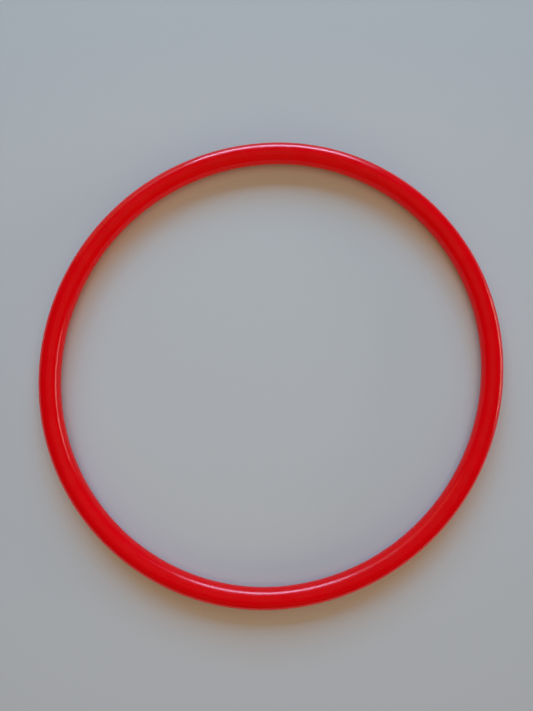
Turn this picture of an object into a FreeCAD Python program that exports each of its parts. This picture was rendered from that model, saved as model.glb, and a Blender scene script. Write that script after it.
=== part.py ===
import FreeCAD, Part

import math
import os

# A hand-size plastic hoop. One length of thin round tube is bent into a ring and its two cut ends
# meet in a butt joint. A curved, barbed plug sits inside the joint, half of it in each tube end,
# and two small steel pins through the tube wall on each side of the joint keep the plug in.
#
# Millimetres, +Z up. The origin is the middle of the ring, on the tube's mid-plane.
# The ring is slightly out of round: +X is its long axis. +Y points at the butt joint.

# ---- Driving dimensions ----
HOOP_DIAMETER = 150.0  # over the outside of the tube, the mean of the long and short axes
OUT_OF_ROUND = 4.5  # long outer diameter minus short outer diameter
TUBE_DIAMETER = 6.8
TUBE_WALL = 1.0
END_GAP = 0.03  # hairline between the tube's two cut ends, which are pressed together

PLUG_LENGTH = 36.0  # along the bend
PLUG_CLEARANCE = 0.02  # radial, between the barbs' crests and the bore
PLUG_LEAD_IN = 1.5  # length of the taper at each end of the plug
PLUG_LEAD_IN_DEPTH = 0.5  # how much that taper takes off the radius
BARB_HEIGHT = 0.3  # crest above the plug's core
BARB_LENGTH = 2.2  # ramp, along the bend
BARB_PITCH = 3.0
BARB_START = 1.5  # from the joint to the first crest on each side
BARB_ROOT_SINK = 0.1  # how far below the core's surface each ramp begins

PIN_DIAMETER = 1.0
PIN_POINT_LENGTH = 0.8
PIN_POINT_RADIUS = 0.12  # blunt end of the point
PIN_HEAD_DIAMETER = 1.8
PIN_HEAD_HEIGHT = 0.4
PIN_HEAD_RECESS = 0.15  # head below the crown of the tube, so that no edge stands proud
PIN_CLEARANCE = 0.02  # radial, in its hole, and past its point
PIN_TIP_COVER = 1.0  # thickness of plug left beyond the pin's point
PIN_START = 6.0  # from the joint to the nearer pin, along the bend
PIN_PITCH = 7.0  # from the nearer pin to the farther one
PINS_PER_SIDE = 2
PIN_SLOPE = 50.0  # degrees below the horizontal, on the side that faces the ring's middle

# ---- Sizes that follow from those ----
TUBE_RADIUS = TUBE_DIAMETER / 2
BORE_RADIUS = TUBE_RADIUS - TUBE_WALL
MEAN_RADIUS = HOOP_DIAMETER / 2 - TUBE_RADIUS
LONG_SEMI_AXIS = MEAN_RADIUS + OUT_OF_ROUND / 4
SHORT_SEMI_AXIS = MEAN_RADIUS - OUT_OF_ROUND / 4

# The tube's centreline is an oval of four tangent quarter bends. The tight bends are centred on
# the long axis, the flat ones on the short axis, and all four centres are as far from the origin.
CENTRE_OFFSET = (LONG_SEMI_AXIS - SHORT_SEMI_AXIS) / (2 - math.sqrt(2))
TIGHT_RADIUS = LONG_SEMI_AXIS - CENTRE_OFFSET
FLAT_RADIUS = TIGHT_RADIUS + CENTRE_OFFSET * math.sqrt(2)

CREST_RADIUS = BORE_RADIUS - PLUG_CLEARANCE
CORE_RADIUS = CREST_RADIUS - BARB_HEIGHT
PIN_RADIUS = PIN_DIAMETER / 2
PIN_HEAD_RADIUS = PIN_HEAD_DIAMETER / 2
PIN_TOP = TUBE_RADIUS - PIN_HEAD_RECESS  # outer face of a pin's head, from the tube's centreline
PIN_LENGTH = PIN_TOP + CORE_RADIUS - PIN_TIP_COVER  # head and point included

UP = FreeCAD.Vector(0, 0, 1)
JOINT_BEND_CENTRE = FreeCAD.Vector(0, -CENTRE_OFFSET, 0)
JOINT_ANGLE = 90.0  # the joint's direction from the centre of its bend, in degrees
HALF_BEND = 45.0  # each bend reaches this far, in degrees, to each side of its middle


def direction(angle):
    """Unit vector in the ring's plane, at an angle in degrees from +X."""
    radians = math.radians(angle)
    return FreeCAD.Vector(math.cos(radians), math.sin(radians), 0)


def disc(radius, centre, normal):
    """Flat round face."""
    return Part.Face(Part.Wire(Part.makeCircle(radius, centre, normal)))


def bent_rod(bend_centre, bend_radius, start, end, radius):
    """Solid round rod bent along an arc from start to end, in degrees."""
    centre = bend_centre + direction(start) * bend_radius
    section = disc(radius, centre, direction(start + 90))
    return section.revolve(bend_centre, UP, end - start)


def bent_tube(bend_centre, bend_radius, start, end):
    """Round tube, of the hoop's own section, bent along an arc from start to end, in degrees."""
    rod = bent_rod(bend_centre, bend_radius, start, end, TUBE_RADIUS)
    return rod.cut(bent_rod(bend_centre, bend_radius, start, end, BORE_RADIUS))


def joint_bend_angle(distance):
    """Angle on the joint's bend of the point that far along it, counted from the joint towards +X."""
    return JOINT_ANGLE - math.degrees(distance / FLAT_RADIUS)


def joint_bend_point(distance):
    """Point on the tube's centreline that far along the bend from the joint."""
    return JOINT_BEND_CENTRE + direction(joint_bend_angle(distance)) * FLAT_RADIUS


def single(shape):
    """The one solid that a shape holds."""
    solids = shape.removeSplitter().Solids
    if len(solids) != 1:
        raise ValueError("expected one solid, found %d" % len(solids))
    return solids[0]


def pin_axis(distance):
    """Point on the tube's centreline under a pin, and the way that the pin is driven."""
    inward = direction(joint_bend_angle(distance)) * -1
    slope = math.radians(PIN_SLOPE)
    driven = (inward * math.cos(slope) - UP * math.sin(slope)) * -1
    return joint_bend_point(distance), driven


def pin_places():
    """Distances of all the pins from the joint, along the bend."""
    reach = [PIN_START + PIN_PITCH * i for i in range(PINS_PER_SIDE)]
    return [-d for d in reversed(reach)] + reach


def make_pin(distance):
    """Steel pin: a flat round head, a straight shank and a blunt conical point."""
    centre, driven = pin_axis(distance)
    top = centre - driven * PIN_TOP
    head = Part.makeCylinder(PIN_HEAD_RADIUS, PIN_HEAD_HEIGHT, top, driven)
    shank = Part.makeCylinder(PIN_RADIUS, PIN_LENGTH - PIN_POINT_LENGTH, top, driven)
    point_base = top + driven * (PIN_LENGTH - PIN_POINT_LENGTH)
    point = Part.makeCone(PIN_RADIUS, PIN_POINT_RADIUS, PIN_POINT_LENGTH, point_base, driven)
    return single(head.fuse([shank, point]))


def pin_hole(distance):
    """What a pin takes out of the tube and the plug: a counterbore for its head and a blind hole.

    Both begin clear of the tube, as far above its crown as the head lies below it.
    """
    centre, driven = pin_axis(distance)
    above_head = 2 * PIN_HEAD_RECESS
    mouth = centre - driven * (PIN_TOP + above_head)
    to_seat = above_head + PIN_HEAD_HEIGHT
    to_end = above_head + PIN_LENGTH + PIN_CLEARANCE
    counterbore = Part.makeCylinder(PIN_HEAD_RADIUS + PIN_CLEARANCE, to_seat, mouth, driven)
    hole = Part.makeCylinder(PIN_RADIUS + PIN_CLEARANCE, to_end, mouth, driven)
    return counterbore.fuse(hole)


def make_tube():
    """The hoop's tube: four quarter bends, of which the joint's one is cut through at the joint."""
    half_gap = math.degrees(END_GAP / 2 / FLAT_RADIUS)
    stretches = [
        bent_tube(JOINT_BEND_CENTRE, FLAT_RADIUS, JOINT_ANGLE - HALF_BEND, JOINT_ANGLE - half_gap),
        bent_tube(JOINT_BEND_CENTRE, FLAT_RADIUS, JOINT_ANGLE + half_gap, JOINT_ANGLE + HALF_BEND),
    ]
    other_bends = [
        (JOINT_ANGLE + 90, TIGHT_RADIUS, CENTRE_OFFSET),
        (JOINT_ANGLE + 180, FLAT_RADIUS, -CENTRE_OFFSET),
        (JOINT_ANGLE + 270, TIGHT_RADIUS, CENTRE_OFFSET),
    ]
    for middle, radius, offset in other_bends:
        start, end = middle - HALF_BEND, middle + HALF_BEND
        stretches.append(bent_tube(direction(middle) * offset, radius, start, end))
    tube = stretches[0].fuse(stretches[1:])
    return single(tube.cut([pin_hole(d) for d in pin_places()]))


def plug_barb(crest, side):
    """One barb: a ramp that rises towards the joint and ends there in a square step."""
    start = joint_bend_point(side * crest)
    end = joint_bend_point(side * (crest + BARB_LENGTH))
    root = CORE_RADIUS - BARB_ROOT_SINK
    return Part.makeCone(CREST_RADIUS, root, BARB_LENGTH, start, end - start)


def plug_lead_in(side):
    """Taper at one end of the plug, so that it starts easily in the bore. It runs straight on."""
    distance = side * (PLUG_LENGTH / 2 - PLUG_LEAD_IN)
    base = joint_bend_point(distance)
    onward = direction(joint_bend_angle(distance) - 90) * side
    return Part.makeCone(CORE_RADIUS, CORE_RADIUS - PLUG_LEAD_IN_DEPTH, PLUG_LEAD_IN, base, onward)


def make_plug():
    """Moulded plug, curved to the joint's bend, with barbs that let a tube end on but not off."""
    core_half = PLUG_LENGTH / 2 - PLUG_LEAD_IN
    start, end = joint_bend_angle(core_half), joint_bend_angle(-core_half)
    core = bent_rod(JOINT_BEND_CENTRE, FLAT_RADIUS, start, end, CORE_RADIUS)
    barbs_per_side = int((core_half - BARB_START - BARB_LENGTH) / BARB_PITCH) + 1
    additions = []
    for side in (-1, 1):
        additions.append(plug_lead_in(side))
        for i in range(barbs_per_side):
            additions.append(plug_barb(BARB_START + BARB_PITCH * i, side))
    plug = core.fuse(additions)
    return single(plug.cut([pin_hole(d) for d in pin_places()]))


def main():
    """Builds every piece and writes each one to its own file."""
    pieces = {"hoop_tube": make_tube(), "joint_plug": make_plug()}
    for number, distance in enumerate(pin_places(), start=1):
        pieces["joint_pin_%d" % number] = make_pin(distance)
    os.makedirs("parts", exist_ok=True)
    for name, solid in pieces.items():
        solid.exportStep("parts/%s.step" % name)
        print("%-12s valid %s, volume %.2f mm3" % (name, solid.isValid(), solid.Volume))
    print("bend radii %.2f and %.2f mm" % (TIGHT_RADIUS, FLAT_RADIUS))


main()
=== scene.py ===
"""Looks of a hand-size red plastic hoop, built round its CAD frame.

The hoop is one extruded plastic tube, bent round until its two cut ends meet. A barbed plug inside
and four small steel pins hold the joint. Lengths are in metres unless their name ends in _mm, and
angles are in degrees unless their comment says radians.
"""

import logging
import math
from dataclasses import dataclass, field
from enum import Enum
from typing import Any, Iterator, Mapping

import bmesh
import bpy
import numpy as np
from mathutils import Matrix, Vector


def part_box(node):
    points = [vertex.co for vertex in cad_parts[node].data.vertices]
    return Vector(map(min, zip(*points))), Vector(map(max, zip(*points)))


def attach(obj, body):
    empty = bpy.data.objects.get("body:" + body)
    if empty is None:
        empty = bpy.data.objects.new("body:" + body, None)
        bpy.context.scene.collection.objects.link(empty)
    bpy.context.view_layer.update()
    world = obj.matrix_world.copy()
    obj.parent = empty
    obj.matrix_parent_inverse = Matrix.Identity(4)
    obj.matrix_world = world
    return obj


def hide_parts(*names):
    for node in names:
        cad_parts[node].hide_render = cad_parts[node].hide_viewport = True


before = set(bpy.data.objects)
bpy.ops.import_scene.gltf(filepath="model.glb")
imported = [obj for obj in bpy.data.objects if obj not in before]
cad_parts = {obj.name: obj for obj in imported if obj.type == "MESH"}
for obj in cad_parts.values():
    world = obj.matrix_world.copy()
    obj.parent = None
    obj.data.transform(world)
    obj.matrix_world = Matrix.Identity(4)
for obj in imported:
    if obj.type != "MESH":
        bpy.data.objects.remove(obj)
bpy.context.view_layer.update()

MM = 0.001
BODY = "root"
STRAIGHT = "straight_mm"  # where a point would be if the tube were unbent: along, outward, up
ALONG = "along_mm"  # where a point is on a turned piece's own axes
BAKE_MAP = "OFBake"
UP = np.array([0.0, 0.0, 1.0])
log = logging.getLogger("hoop")


# ---------------------------------------------------------------- shared helpers


def linear(hex_colour: str) -> tuple[float, float, float, float]:
    """Turns an sRGB hex colour into linear light.

    Args:
        hex_colour: six hex digits after a hash.

    Returns:
        Linear red, green and blue, and an alpha of 1.
    """
    shares = [int(hex_colour[i : i + 2], 16) / 255 for i in (1, 3, 5)]
    light = [s / 12.92 if s <= 0.04045 else ((s + 0.055) / 1.055) ** 2.4 for s in shares]
    return light[0], light[1], light[2], 1.0


def add_node(
    tree: bpy.types.NodeTree,
    kind: str,
    inputs: Mapping[str | int, Any] | None = None,
    **settings: Any,
) -> bpy.types.Node:
    """Adds a node, sets its own settings and fills or links its inputs.

    Args:
        tree: the node tree to add to.
        kind: the node's class name.
        inputs: input name or number to a value, or to another node's output socket to link.
        settings: attributes of the node itself.

    Returns:
        The new node.
    """
    node = tree.nodes.new(kind)
    for name, value in settings.items():
        setattr(node, name, value)
    for name, value in (inputs or {}).items():
        if isinstance(value, bpy.types.NodeSocket):
            tree.links.new(value, node.inputs[name])
        else:
            node.inputs[name].default_value = value
    return node


def new_material(name: str) -> tuple[bpy.types.Material, bpy.types.NodeTree]:
    """Makes an empty node material.

    Args:
        name: the material's name.

    Returns:
        The material and its node tree.
    """
    material = bpy.data.materials.new(name)
    material.use_nodes = True
    material.node_tree.nodes.clear()
    return material, material.node_tree


def finish_material(tree: bpy.types.NodeTree, surface: Mapping[str | int, Any]) -> None:
    """Adds the main shader with its inputs and links it to the material's output.

    Args:
        tree: the material's node tree.
        surface: the shader's input values and links.
    """
    shader = add_node(tree, "ShaderNodeBsdfPrincipled", surface)
    add_node(tree, "ShaderNodeOutputMaterial", {"Surface": shader.outputs["BSDF"]})


def grid_mesh(name: str, rings: np.ndarray, closed_length: bool) -> bpy.types.Mesh:
    """Skins a row of closed rings of points with quads.

    Args:
        name: the mesh's name.
        rings: points, as ring by point by 3.
        closed_length: True if the last ring joins the first; otherwise both end rings get a cap.

    Returns:
        The mesh, with its faces turned outwards.
    """
    count, around = rings.shape[:2]
    skin = bmesh.new()
    verts = [skin.verts.new(point) for point in rings.reshape(-1, 3)]
    for i in range(count if closed_length else count - 1):
        near, far = i * around, (i + 1) % count * around
        for j in range(around):
            k = (j + 1) % around
            skin.faces.new((verts[near + j], verts[far + j], verts[far + k], verts[near + k]))
    if not closed_length:
        skin.faces.new(verts[:around])
        skin.faces.new(verts[: -around - 1 : -1])
    bmesh.ops.recalc_face_normals(skin, faces=skin.faces)
    mesh = bpy.data.meshes.new(name)
    skin.to_mesh(mesh)
    skin.free()
    return mesh


def add_object(mesh: bpy.types.Mesh) -> bpy.types.Object:
    """Links a mesh into the scene as an object of the same name.

    Args:
        mesh: the mesh.

    Returns:
        The new object.
    """
    piece = bpy.data.objects.new(mesh.name, mesh)
    bpy.context.scene.collection.objects.link(piece)
    return piece


def smooth(mesh: bpy.types.Mesh, crease: float = 35.0) -> None:
    """Shades a mesh smooth, apart from edges that fold by more than the crease, in degrees."""
    mesh.shade_smooth()
    mesh.set_sharp_from_angle(angle=math.radians(crease))


def store_places(mesh: bpy.types.Mesh, name: str, places: np.ndarray) -> None:
    """Keeps a place for each point of a mesh, for its material to read."""
    layer = mesh.attributes.new(name, "FLOAT_VECTOR", "POINT")
    layer.data.foreach_set("vector", places.astype(np.float32).ravel())


def mesh_points(mesh: bpy.types.Mesh) -> np.ndarray:
    """Reads a mesh's points.

    Args:
        mesh: the mesh.

    Returns:
        The points, as number by 3.
    """
    flat = np.empty(len(mesh.vertices) * 3, np.float32)
    mesh.vertices.foreach_get("co", flat)
    return flat.reshape(-1, 3).astype(float)


def turned_mesh(name: str, profile: list[tuple[float, float]], around: int) -> bpy.types.Mesh:
    """Turns a profile round the Z axis, as on a lathe.

    Args:
        name: the mesh's name.
        profile: radius and height of each ring, from one end to the other.
        around: points in each ring.

    Returns:
        The closed mesh, with its own axes stored in mm.
    """
    turns = np.linspace(0, 2 * math.pi, around, endpoint=False)
    rings = np.array([[(r * math.cos(t), r * math.sin(t), h) for t in turns] for r, h in profile])
    mesh = grid_mesh(name, rings, closed_length=False)
    store_places(mesh, ALONG, mesh_points(mesh) / MM)
    return mesh


def join_seams(shares: np.ndarray, sizes: np.ndarray) -> tuple[np.ndarray, np.ndarray]:
    """Keeps each face whole where a map wraps round from 1 to 0.

    Args:
        shares: place of each face's corners on one axis of the map, from 0 to 1.
        sizes: how many corners each face has.

    Returns:
        The places, moved so that the middle of each face is between 0 and 1, and those middles.
    """
    face = np.repeat(np.arange(len(sizes)), sizes)
    first = shares[(np.cumsum(sizes) - sizes)[face]]
    joined = first + (shares - first + 0.5) % 1 - 0.5
    middle = (np.bincount(face, joined) / sizes)[face]
    return joined - np.floor(middle), middle % 1


# ---------------------------------------------------------------- the ring's centreline


@dataclass(frozen=True)
class Bend:
    """One of the ring's four quarter bends."""

    middle: float  # direction of its middle from its centre, in radians
    radius: float
    centre: tuple[float, float]
    distance: float  # of its middle, along the tube from the joint


@dataclass(frozen=True)
class BendOval:
    """Centreline of the ring: an oval of four tangent quarter bends, with the joint on +Y.

    Distances run along it from the joint, towards +X first.
    """

    long_semi_axis: float
    short_semi_axis: float

    @property
    def bends(self) -> tuple[Bend, ...]:
        """The four bends, from the joint's own one round towards +X.

        Returns:
            The bends, in the order in which the tube passes through them.
        """
        offset = (self.long_semi_axis - self.short_semi_axis) / (2 - math.sqrt(2))
        tight = self.long_semi_axis - offset
        flat = tight + offset * math.sqrt(2)
        step = (tight + flat) * math.pi / 4
        quarter = math.pi / 2
        return (
            Bend(quarter, flat, (0, -offset), 0),
            Bend(0, tight, (offset, 0), step),
            Bend(-quarter, flat, (0, offset), 2 * step),
            Bend(-2 * quarter, tight, (-offset, 0), 3 * step),
        )

    @property
    def length(self) -> float:
        """Once round the centreline."""
        return 4 * self.bends[1].distance

    def centreline(self, distances: np.ndarray) -> tuple[np.ndarray, np.ndarray]:
        """Finds points on the centreline.

        Args:
            distances: how far along each point is.

        Returns:
            The points, and the outward unit vectors there, each as number by 3.
        """
        points = np.zeros((len(distances), 3))
        outward = np.zeros((len(distances), 3))
        half = self.length / 2
        rounding = 1e-9
        for bend in self.bends:
            past = (distances - bend.distance + half) % self.length - half
            here = np.abs(past) <= bend.radius * math.pi / 4 + rounding
            angle = bend.middle - past[here] / bend.radius
            outward[here] = np.stack([np.cos(angle), np.sin(angle), np.zeros_like(angle)], 1)
            points[here] = np.array([*bend.centre, 0]) + outward[here] * bend.radius
        return points, outward

    def sweep(self, distances: np.ndarray, radii: np.ndarray, around: int) -> np.ndarray:
        """Places rings of points round the centreline.

        Args:
            distances: how far along each ring is.
            radii: each ring's radius.
            around: points in each ring.

        Returns:
            The points, as ring by point by 3.
        """
        centres, outward = self.centreline(distances)
        turns = np.linspace(0, 2 * math.pi, around, endpoint=False)
        across = np.cos(turns)[None, :, None] * outward[:, None, :]
        upward = np.sin(turns)[None, :, None] * UP
        return centres[:, None, :] + radii[:, None, None] * (across + upward)

    def straighten(self, points: np.ndarray) -> np.ndarray:
        """Says where points would be if the tube were unbent.

        Args:
            points: number by 3.

        Returns:
            Distance along, outward and up for each point, as number by 3.
        """
        best = np.full(len(points), np.inf)
        straight = np.zeros((len(points), 3))
        straight[:, 2] = points[:, 2]
        for bend in self.bends:
            arm = points[:, :2] - np.array(bend.centre)
            off = bend.middle - np.arctan2(arm[:, 1], arm[:, 0])
            off = (off + math.pi) % (2 * math.pi) - math.pi
            nearer = np.abs(off) < best
            best[nearer] = np.abs(off)[nearer]
            straight[nearer, 0] = (bend.distance + off[nearer] * bend.radius) % self.length
            straight[nearer, 1] = np.hypot(arm[nearer, 0], arm[nearer, 1]) - bend.radius
        return straight


# ---------------------------------------------------------------- finishes


@dataclass(frozen=True)
class SkinRelief:
    """Fine heights on the tube's skin, which can be drawn out along it."""

    size_mm: float
    depth_mm: float  # negative for a groove
    squeeze: float  # of the pattern's map along the tube; a small one draws the pattern out
    detail: float  # how many finer layers go on top
    turn: float = 0.0  # radians that the map is turned, so that the pattern runs askew
    kept: tuple[float, float] | None = None  # strengths of the noise that become 0 and 1

    def bump(
        self,
        tree: bpy.types.NodeTree,
        place: bpy.types.NodeSocket,
        under: bpy.types.NodeSocket | None,
    ) -> bpy.types.NodeSocket:
        """Adds the heights to a surface.

        Args:
            tree: the material's node tree.
            place: the straightened places, in mm.
            under: the normal of what lies under them, if anything does.

        Returns:
            The normal with these heights on it.
        """
        spread = {"Vector": place, "Rotation": (0.0, 0.0, self.turn), "Scale": (self.squeeze, 1.0, 1.0)}
        drawn = add_node(tree, "ShaderNodeMapping", spread).outputs["Vector"]
        pattern = {"Vector": drawn, "Scale": 1 / self.size_mm, "Detail": self.detail}
        height = add_node(tree, "ShaderNodeTexNoise", pattern).outputs["Fac"]
        if self.kept is not None:
            low, high = self.kept
            cut = {"Value": height, "From Min": low, "From Max": high}
            height = add_node(tree, "ShaderNodeMapRange", cut).outputs["Result"]
        relief = {"Strength": 1.0, "Distance": self.depth_mm * MM, "Height": height}
        if under is not None:
            relief["Normal"] = under
        return add_node(tree, "ShaderNodeBump", relief).outputs["Normal"]


@dataclass(frozen=True)
class ExtrudedPolyethylene:
    """Opaque red polyethylene, coloured right through and drawn through a polished die.

    The die leaves a glossy skin, in which a light shows as one bright line with a soft red glow
    beside it. Faint lines run along the tube, and handling has left a few hairline scratches.
    """

    name: str = "extruded_red_polyethylene"
    pigment: str = "#F2000D"
    deep_pigment: str = "#E6000B"
    pigment_cloud_mm: float = 9.0
    ior: float = 1.51
    specular: float = 0.25  # half of what the bare plastic would have, to keep the red deep
    roughness: float = 0.15
    haze: float = 0.08  # added to the roughness where the skin is haziest
    haze_patch_mm: float = 5.0
    haze_noise: tuple[float, float] = (0.3, 0.7)  # strengths of the noise with no and full haze
    # Die lines are really about 0.1 mm apart. They are drawn coarser, so that they show.
    die_lines: SkinRelief = SkinRelief(0.5, 0.002, squeeze=0.004, detail=2.0)
    # Gentle waves that a cooling tube keeps.
    waves: SkinRelief = SkinRelief(4.0, 0.012, squeeze=0.3, detail=1.0)
    # Hairline scratches, a hundredth of that deep, at a slant to the tube.
    scratches: SkinRelief = SkinRelief(0.3, -0.001, squeeze=0.12, detail=4.0, turn=0.5, kept=(0.64, 0.72))

    def material(self) -> bpy.types.Material:
        """Makes the material.

        Returns:
            The finished material, for a mesh that stores its straightened places.
        """
        made, tree = new_material(self.name)
        place = add_node(tree, "ShaderNodeAttribute", attribute_name=STRAIGHT).outputs["Vector"]
        clouds = {"Vector": place, "Scale": 1 / self.pigment_cloud_mm, "Detail": 3.0}
        cloud = add_node(tree, "ShaderNodeTexNoise", clouds).outputs["Fac"]
        pigments = {0: cloud, 6: linear(self.deep_pigment), 7: linear(self.pigment)}
        colour = add_node(tree, "ShaderNodeMix", pigments, data_type="RGBA").outputs[2]
        patches = {"Vector": place, "Scale": 1 / self.haze_patch_mm, "Detail": 6.0}
        clear, hazy = self.haze_noise
        hazes = {
            "Value": add_node(tree, "ShaderNodeTexNoise", patches).outputs["Fac"],
            "From Min": clear,
            "From Max": hazy,
            "To Min": self.roughness,
            "To Max": self.roughness + self.haze,
        }
        rough = add_node(tree, "ShaderNodeMapRange", hazes).outputs["Result"]
        normal = None
        for relief in (self.die_lines, self.waves, self.scratches):
            normal = relief.bump(tree, place, normal)
        surface = {
            "Base Color": colour,
            "Roughness": rough,
            "IOR": self.ior,
            "Specular IOR Level": self.specular,
            "Normal": normal,
        }
        finish_material(tree, surface)
        return made


@dataclass(frozen=True)
class MouldedPolypropylene:
    """Natural polypropylene, moulded in a spark-eroded tool: milky, with a fine satin grain."""

    name: str = "moulded_natural_polypropylene"
    tint: str = "#DAD8CE"
    grain_tint: str = "#CFCDC2"
    ior: float = 1.49
    roughness: float = 0.45
    milkiness: float = 0.3  # share of the light that spreads inside it
    spread_mm: float = 1.2
    grain_mm: float = 0.25
    grain_depth_mm: float = 0.01

    def material(self) -> bpy.types.Material:
        """Makes the material.

        Returns:
            The finished material, for a mesh that stores its straightened places.
        """
        made, tree = new_material(self.name)
        place = add_node(tree, "ShaderNodeAttribute", attribute_name=STRAIGHT).outputs["Vector"]
        grains = {"Vector": place, "Scale": 1 / self.grain_mm, "Detail": 3.0}
        grain = add_node(tree, "ShaderNodeTexNoise", grains).outputs["Fac"]
        tints = {0: grain, 6: linear(self.grain_tint), 7: linear(self.tint)}
        relief = {"Strength": 1.0, "Distance": self.grain_depth_mm * MM, "Height": grain}
        surface = {
            "Base Color": add_node(tree, "ShaderNodeMix", tints, data_type="RGBA").outputs[2],
            "Roughness": self.roughness,
            "IOR": self.ior,
            "Subsurface Weight": self.milkiness,
            "Subsurface Scale": self.spread_mm * MM,
            "Normal": add_node(tree, "ShaderNodeBump", relief).outputs["Normal"],
        }
        finish_material(tree, surface)
        return made


@dataclass(frozen=True)
class DrawnSteelWire:
    """Bright steel wire, drawn through a die and then headed: satin, with lines along its shank."""

    name: str = "drawn_steel_wire"
    tint: str = "#C4C2BE"
    worn_tint: str = "#A5A29C"
    roughness: float = 0.28
    worn_roughness: float = 0.42
    worn_patch_mm: float = 0.5
    draw_line_mm: float = 0.12  # real ones are about 0.02 mm apart, drawn coarser so that they show
    draw_line_depth_mm: float = 0.003
    draw_line_squeeze: float = 0.05  # of the lines' map along the wire, which draws them out

    def material(self) -> bpy.types.Material:
        """Makes the material.

        Returns:
            The finished material, for a turned mesh that stores its own axes.
        """
        made, tree = new_material(self.name)
        place = add_node(tree, "ShaderNodeAttribute", attribute_name=ALONG).outputs["Vector"]
        spread = {"Vector": place, "Scale": (1.0, 1.0, self.draw_line_squeeze)}
        drawn = add_node(tree, "ShaderNodeMapping", spread).outputs["Vector"]
        lines = {"Vector": drawn, "Scale": 1 / self.draw_line_mm, "Detail": 2.0}
        patches = {"Vector": place, "Scale": 1 / self.worn_patch_mm, "Detail": 3.0}
        worn = add_node(tree, "ShaderNodeTexNoise", patches).outputs["Fac"]
        tints = {0: worn, 6: linear(self.worn_tint), 7: linear(self.tint)}
        gloss = {"Value": worn, "To Min": self.worn_roughness, "To Max": self.roughness}
        relief = {
            "Strength": 1.0,
            "Distance": self.draw_line_depth_mm * MM,
            "Height": add_node(tree, "ShaderNodeTexNoise", lines).outputs["Fac"],
        }
        surface = {
            "Base Color": add_node(tree, "ShaderNodeMix", tints, data_type="RGBA").outputs[2],
            "Metallic": 1.0,
            "Roughness": add_node(tree, "ShaderNodeMapRange", gloss).outputs["Result"],
            "Normal": add_node(tree, "ShaderNodeBump", relief).outputs["Normal"],
        }
        finish_material(tree, surface)
        return made


@dataclass(frozen=True)
class BackdropPaper:
    """Matt pale backdrop paper, plain apart from its fine tooth."""

    name: str = "matt_backdrop_paper"
    tint: str = "#C8C9C8"
    tooth_mm: float = 0.6
    tooth_depth_mm: float = 0.02

    def material(self) -> bpy.types.Material:
        """Makes the material.

        Returns:
            The finished material, for the floor.
        """
        made, tree = new_material(self.name)
        place = add_node(tree, "ShaderNodeTexCoord").outputs["Object"]
        tooth = {"Vector": place, "Scale": 1 / (self.tooth_mm * MM), "Detail": 3.0}
        relief = {
            "Strength": 1.0,
            "Distance": self.tooth_depth_mm * MM,
            "Height": add_node(tree, "ShaderNodeTexNoise", tooth).outputs["Fac"],
        }
        surface = {
            "Base Color": linear(self.tint),
            "Roughness": 1.0,
            "Specular IOR Level": 0.0,
            "Normal": add_node(tree, "ShaderNodeBump", relief).outputs["Normal"],
        }
        finish_material(tree, surface)
        return made


# ---------------------------------------------------------------- the hoop


@dataclass(frozen=True)
class PinSeat:
    """Where the joint's pins go, and how they are driven."""

    oval: BendOval
    distances: tuple[float, ...] = (-13 * MM, -6 * MM, 6 * MM, 13 * MM)
    slope: float = 50.0  # below level, on the side that faces the ring's middle
    head_top: float = 3.25 * MM  # outer face of a head, from the tube's centreline
    head_height: float = 0.4 * MM
    head_radius: float = 0.9 * MM
    shank_radius: float = 0.5 * MM
    clearance: float = 0.02 * MM
    hole_depth: float = 1.1 * MM  # past the tube's centreline
    drill_rise: float = 2.0 * MM  # of the cutter above a head's seat, clear of the tube
    drill_around: int = 32

    def placements(self) -> Iterator[Matrix]:
        """Finds where each pin goes.

        Returns:
            Each pin's own axes: origin on the tube's centreline, Z out through its head.
        """
        points, outward = self.oval.centreline(np.array(self.distances))
        slope = math.radians(self.slope)
        for point, out in zip(points, outward):
            axis = Vector(-out * math.cos(slope)) - Vector((0, 0, math.sin(slope)))
            turn = axis.to_track_quat("Z", "Y").to_matrix().to_4x4()
            yield Matrix.Translation(Vector(point)) @ turn

    def drill(self, piece: bpy.types.Object) -> None:
        """Cuts each pin's hole and its head's counterbore out of a piece.

        Args:
            piece: the piece to drill.
        """
        hole, seat = self.shank_radius + self.clearance, self.head_radius + self.clearance
        step = self.head_top - self.head_height
        profile = [(hole, -self.hole_depth), (hole, step), (seat, step), (seat, step + self.drill_rise)]
        for placement in self.placements():
            drill = add_object(turned_mesh("drill", profile, self.drill_around))
            drill.data.transform(placement)
            cut = piece.modifiers.new("drill", "BOOLEAN")
            cut.operation = "DIFFERENCE"
            cut.solver = "EXACT"
            cut.object = drill
            with bpy.context.temp_override(object=piece, active_object=piece):
                bpy.ops.object.modifier_apply(modifier=cut.name)
            bpy.data.meshes.remove(drill.data)


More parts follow.
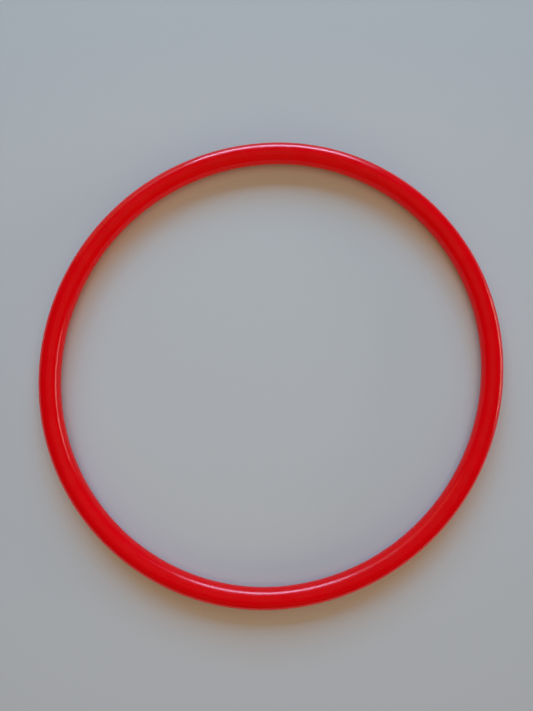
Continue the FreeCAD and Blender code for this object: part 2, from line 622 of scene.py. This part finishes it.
@dataclass
class HoopTube:
    """The hoop's tube: its outer skin, its bore, its cut ends and the seats of the pins."""

    oval: BendOval
    radius: float
    seats: PinSeat
    wall: float = 1.0 * MM
    end_gap: float = 0.03 * MM
    end_touch: float = 0.002 * MM  # the cut ends slope, so that they all but touch at the bore
    around: int = 56
    spacing: float = 0.6 * MM  # of the skin's rings
    bore_spacing: float = 3.0 * MM
    bake_strips: int = 5
    bake_bore_share: float = 0.2  # of the bake map; little is enough, because the bore is hidden
    bake_margin: float = 0.02
    finish: ExtrudedPolyethylene = field(default_factory=ExtrudedPolyethylene)

    def build(self) -> bpy.types.Object:
        """Sweeps a closed profile, out along the skin and back along the bore, and drills it.

        Returns:
            The tube as one closed solid.
        """
        length = self.oval.length
        skin_start, bore_start = self.end_gap / 2, self.end_touch / 2
        skin = np.linspace(skin_start, length - skin_start, round(length / self.spacing))
        bore = np.linspace(length - bore_start, bore_start, round(length / self.bore_spacing))
        radii = np.repeat([self.radius, self.radius - self.wall], [len(skin), len(bore)])
        rings = self.oval.sweep(np.concatenate([skin, bore]), radii, self.around)
        piece = add_object(grid_mesh("hoop_skin", rings, closed_length=True))
        self.seats.drill(piece)
        smooth(piece.data)
        straight = self.oval.straighten(mesh_points(piece.data))
        store_places(piece.data, STRAIGHT, straight / MM)
        self.lay_out_bake(piece.data, straight)
        return piece

    def lay_out_bake(self, mesh: bpy.types.Mesh, straight: np.ndarray) -> None:
        """Unrolls the tube into strips, one above the other, for whoever bakes its finish.

        The bore's strips are thin and lie at the bottom. The skin's fill the rest of the map.

        Args:
            mesh: the tube's mesh.
            straight: its points' straightened places.
        """
        corners = np.empty(len(mesh.loops), np.int32)
        mesh.loops.foreach_get("vertex_index", corners)
        sizes = np.empty(len(mesh.polygons), np.int32)
        mesh.polygons.foreach_get("loop_total", sizes)
        distance, outward, height = straight[corners].T
        along, middle_along = join_seams(distance / self.oval.length % 1, sizes)
        underside = -0.25  # where the tube is slit open, in turns from its outermost line
        turn, _ = join_seams((np.arctan2(height, outward) / (2 * math.pi) - underside) % 1, sizes)
        face = np.repeat(np.arange(len(sizes)), sizes)
        depth = (np.bincount(face, np.hypot(outward, height)) / sizes)[face]
        on_bore = depth < self.radius - self.wall / 2
        strip = np.floor(middle_along * self.bake_strips)
        thin = self.bake_bore_share / self.bake_strips
        thick = (1 - self.bake_bore_share) / self.bake_strips
        share = np.where(on_bore, thin, thick)
        base = np.where(on_bore, 0, self.bake_bore_share) + strip * share
        margin = self.bake_margin
        u = margin / 2 + (along * self.bake_strips - strip) * (1 - margin)
        v = base + share * (margin + turn * (1 - 2 * margin))
        layer = mesh.uv_layers.new(name=BAKE_MAP)
        layer.data.foreach_set("uv", np.stack([u, v], 1).astype(np.float32).ravel())

    def dress(self, piece: bpy.types.Object) -> None:
        """Gives the tube its finish and ties it to the frame.

        Args:
            piece: the tube.
        """
        piece.data.materials.append(self.finish.material())
        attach(piece, BODY)
        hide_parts("hoop_tube")


@dataclass
class JointPlug:
    """The plug inside the joint, with a row of barbs towards each tube end."""

    oval: BendOval
    seats: PinSeat
    length: float = 36 * MM
    core_radius: float = 2.08 * MM
    crest_radius: float = 2.38 * MM
    barb_start: float = 1.5 * MM
    barb_length: float = 2.2 * MM
    barb_pitch: float = 3.0 * MM
    barb_face: float = 0.02 * MM  # run of a barb's steep face, which is all but square
    barbs_per_side: int = 5
    lead_in: float = 1.5 * MM
    lead_in_depth: float = 0.5 * MM
    around: int = 48
    finish: MouldedPolypropylene = field(default_factory=MouldedPolypropylene)

    def half_profile(self) -> list[tuple[float, float]]:
        """Works out the plug's outline, from the joint to one end.

        Returns:
            Distance from the joint and radius of each ring.
        """
        rings = [(0.0, self.core_radius)]
        for i in range(self.barbs_per_side):
            crest = self.barb_start + self.barb_pitch * i
            rings.append((crest - self.barb_face, self.core_radius))
            rings.append((crest, self.crest_radius))
            rings.append((crest + self.barb_length, self.core_radius))
        half = self.length / 2
        rings.append((half - self.lead_in, self.core_radius))
        rings.append((half, self.core_radius - self.lead_in_depth))
        return rings

    def build(self) -> bpy.types.Object:
        """Sweeps the barbed profile along the joint's bend and drills it for the pins.

        Returns:
            The plug as one closed solid.
        """
        half = self.half_profile()
        mirrored = [(-distance, radius) for distance, radius in reversed(half[1:])]
        distances, radii = np.array(mirrored + half).T
        rings = self.oval.sweep(distances, radii, self.around)
        piece = add_object(grid_mesh("barbed_plug", rings, closed_length=False))
        self.seats.drill(piece)
        smooth(piece.data)
        store_places(piece.data, STRAIGHT, self.oval.straighten(mesh_points(piece.data)) / MM)
        return piece

    def dress(self, piece: bpy.types.Object) -> None:
        """Gives the plug its finish and ties it to the frame.

        Args:
            piece: the plug.
        """
        piece.data.materials.append(self.finish.material())
        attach(piece, BODY)
        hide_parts("joint_plug")


@dataclass
class JointPins:
    """The four headed wire pins that hold the plug in the tube."""

    seats: PinSeat
    length: float = 4.33 * MM
    point_length: float = 0.8 * MM
    point_radius: float = 0.12 * MM
    head_crown: float = 0.06 * MM
    rim_rounding: float = 0.08 * MM
    rim_steps: int = 5
    crown_rings: tuple[float, ...] = (0.75, 0.5, 0.25, 0.05)  # as shares of the crown's radius
    around: int = 40
    finish: DrawnSteelWire = field(default_factory=DrawnSteelWire)

    def profile(self) -> list[tuple[float, float]]:
        """Works out a pin's outline, from its point up to its crowned head.

        Returns:
            Radius and height of each ring.
        """
        seats = self.seats
        top, under = seats.head_top, seats.head_top - seats.head_height
        tip = top - self.length
        rim = seats.head_radius - self.rim_rounding
        shoulder = top - self.head_crown
        rings = [(self.point_radius, tip), (seats.shank_radius, tip + self.point_length)]
        rings += [(seats.shank_radius, under), (seats.head_radius, under)]
        for i in range(self.rim_steps + 1):
            turn = math.pi / 2 * i / self.rim_steps
            drop = self.rim_rounding * (1 - math.sin(turn))
            rings.append((rim + self.rim_rounding * math.cos(turn), shoulder - drop))
        for share in self.crown_rings:
            rings.append((rim * share, top - self.head_crown * share**2))
        return rings

    def build(self) -> list[bpy.types.Object]:
        """Turns the pins and drives them home.

        Returns:
            The pins, from the -X side to the +X side.
        """
        pins = []
        for number, placement in enumerate(self.seats.placements(), start=1):
            pin = add_object(turned_mesh(f"wire_pin_{number}", self.profile(), self.around))
            pin.data.transform(placement)
            smooth(pin.data)
            pins.append(pin)
        return pins

    def dress(self, pins: list[bpy.types.Object]) -> None:
        """Gives the pins their finish and ties them to the frame.

        Args:
            pins: the pins, in the order in which they were built.
        """
        steel = self.finish.material()
        for number, pin in enumerate(pins, start=1):
            pin.data.materials.append(steel)
            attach(pin, BODY)
            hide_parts(f"joint_pin_{number}")


# ---------------------------------------------------------------- floor, light and camera


class Glow(Enum):
    """Colours of the lights."""

    SKY = "#BAD4FF"
    BLUE_SKY = "#83CEFF"
    WHITE = "#FFFAF2"
    WARM = "#FFDDB0"
    LAMP = "#FFF6D6"
    ROOM = "#FFC48E"


class Reach(Enum):
    """What a light shows on, as matt surfaces and glossy ones."""

    BOTH = (True, True)
    MATT = (True, False)
    GLOSS = (False, True)


@dataclass(frozen=True)
class Softbox:
    """One soft light, facing the middle of the hoop."""

    name: str
    bearing: float  # round from +X, seen from above
    elevation: float  # above the floor
    width: float  # angle that it fills, seen from the hoop
    height: float  # angle
    brightness: float  # of its face
    glow: Glow
    reach: Reach = Reach.BOTH
    distance: float = 0.8

    def build(self) -> None:
        """Adds the light to the scene."""
        lamp = bpy.data.lights.new(self.name, "AREA")
        lamp.shape = "RECTANGLE"
        lamp.size = 2 * self.distance * math.tan(math.radians(self.width / 2))
        lamp.size_y = 2 * self.distance * math.tan(math.radians(self.height / 2))
        lamp.energy = self.brightness * math.pi * lamp.size * lamp.size_y
        lamp.color = linear(self.glow.value)[:3]
        light = bpy.data.objects.new(self.name, lamp)
        bearing, elevation = math.radians(self.bearing), math.radians(self.elevation)
        level = math.cos(elevation)
        towards = Vector((math.cos(bearing) * level, math.sin(bearing) * level, math.sin(elevation)))
        light.location = towards * self.distance
        light.rotation_euler = towards.to_track_quat("Z", "Y").to_euler()
        light.visible_camera = False
        light.visible_diffuse, light.visible_glossy = self.reach.value
        bpy.context.scene.collection.objects.link(light)


@dataclass
class Studio:
    """Pale floor, soft lights and the camera."""

    floor_height: float
    ring_turn: float = 49.3  # from the picture's right to the hoop's long axis
    floor_size: float = 2.4
    floor_squares: int = 8  # along each side
    camera_place_mm: tuple[float, float, float] = (-5.73, -3.08, 172.05)  # on the picture's axes
    camera_tilt: tuple[float, float] = (2.74, -1.20)  # about the picture's right and up
    lens_mm: float = 26.99
    sensor_mm: float = 36.0
    nearest: float = 0.01  # that the camera sees
    room_strength: float = 0.21
    backdrop: str = "#A9B1B9"
    finish: BackdropPaper = field(default_factory=BackdropPaper)

    def build_floor(self) -> None:
        """Lays the floor under the hoop."""
        sheet = bmesh.new()
        squares = self.floor_squares
        bmesh.ops.create_grid(sheet, x_segments=squares, y_segments=squares, size=self.floor_size / 2)
        mesh = bpy.data.meshes.new("floor")
        sheet.to_mesh(mesh)
        sheet.free()
        floor = add_object(mesh)
        floor.location.z = self.floor_height
        floor.data.materials.append(self.finish.material())

    def build_lights(self) -> None:
        """Adds the lights: a window at the picture's top, a strip at its right, and soft fill."""
        right = -self.ring_turn
        top = right + 90
        bottom = right - 90
        boxes = (
            Softbox(
                "window_strip", bearing=top - 1, elevation=19, width=39, height=18,
                brightness=21.0, glow=Glow.SKY, reach=Reach.GLOSS,
            ),
            Softbox(
                "window_sky", bearing=top + 2, elevation=28, width=60, height=26,
                brightness=7.6, glow=Glow.BLUE_SKY, reach=Reach.MATT, distance=1.9,
            ),
            Softbox(
                "wall_panel", bearing=top + 38, elevation=22, width=34, height=36,
                brightness=0.85, glow=Glow.WARM, distance=2.0,
            ),
            Softbox(
                "side_strip", bearing=right + 5, elevation=9, width=32, height=6,
                brightness=11.0, glow=Glow.WHITE, distance=2.0,
            ),
            Softbox(
                "overhead", bearing=top, elevation=86, width=60, height=60,
                brightness=0.66, glow=Glow.LAMP, reach=Reach.MATT, distance=0.25,
            ),
            Softbox(
                "room_fill", bearing=bottom, elevation=30, width=60, height=30,
                brightness=1.1, glow=Glow.ROOM, reach=Reach.MATT, distance=3.0,
            ),
        )
        for box in boxes:
            box.build()

    def build_surround(self) -> None:
        """Fills the shadows with warm room light, and shows a pale backdrop behind the floor."""
        world = bpy.data.worlds.new("surround")
        bpy.context.scene.world = world
        world.use_nodes = True
        tree = world.node_tree
        tree.nodes.clear()
        room = {"Color": linear(Glow.ROOM.value), "Strength": self.room_strength}
        light = add_node(tree, "ShaderNodeBackground", room).outputs["Background"]
        shown = {"Color": linear(self.backdrop), "Strength": 1.0}
        backdrop = add_node(tree, "ShaderNodeBackground", shown).outputs["Background"]
        seen = add_node(tree, "ShaderNodeLightPath").outputs["Is Camera Ray"]
        either = add_node(tree, "ShaderNodeMixShader", {0: seen, 1: light, 2: backdrop})
        add_node(tree, "ShaderNodeOutputWorld", {"Surface": either.outputs["Shader"]})
        world.cycles_visibility.glossy = False

    def build_camera(self) -> None:
        """Hangs the camera over the hoop, a little off its middle."""
        lens = bpy.data.cameras.new("camera")
        lens.lens = self.lens_mm
        lens.sensor_width = self.sensor_mm
        lens.clip_start = self.nearest
        camera = bpy.data.objects.new("camera", lens)
        about_right, about_up = (math.radians(angle) for angle in self.camera_tilt)
        tilt = Matrix.Rotation(about_up, 4, "Y") @ Matrix.Rotation(about_right, 4, "X")
        hang = Matrix.Translation(Vector(self.camera_place_mm) * MM)
        camera.matrix_world = Matrix.Rotation(math.radians(-self.ring_turn), 4, "Z") @ hang @ tilt
        bpy.context.scene.collection.objects.link(camera)
        bpy.context.scene.camera = camera


def main() -> None:
    """Builds the hoop round the frame, then the studio."""
    logging.basicConfig(level=logging.INFO, format="%(name)s: %(message)s")
    low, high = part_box("hoop_tube")
    radius = (high.z - low.z) / 2
    oval = BendOval((high.x - low.x) / 2 - radius, (high.y - low.y) / 2 - radius)
    seats = PinSeat(oval)
    tube = HoopTube(oval, radius, seats)
    skin = tube.build()
    tube.dress(skin)
    log.info("%s: %d faces", skin.name, len(skin.data.polygons))
    plug = JointPlug(oval, seats)
    barbed = plug.build()
    plug.dress(barbed)
    log.info("%s: %d faces", barbed.name, len(barbed.data.polygons))
    pins = JointPins(seats)
    wires = pins.build()
    pins.dress(wires)
    for wire in wires:
        log.info("%s: %d faces", wire.name, len(wire.data.polygons))
    studio = Studio(floor_height=low.z)
    studio.build_floor()
    studio.build_lights()
    studio.build_surround()
    studio.build_camera()
    bpy.context.scene.view_settings.view_transform = "Standard"


if __name__ == "__main__":
    main()
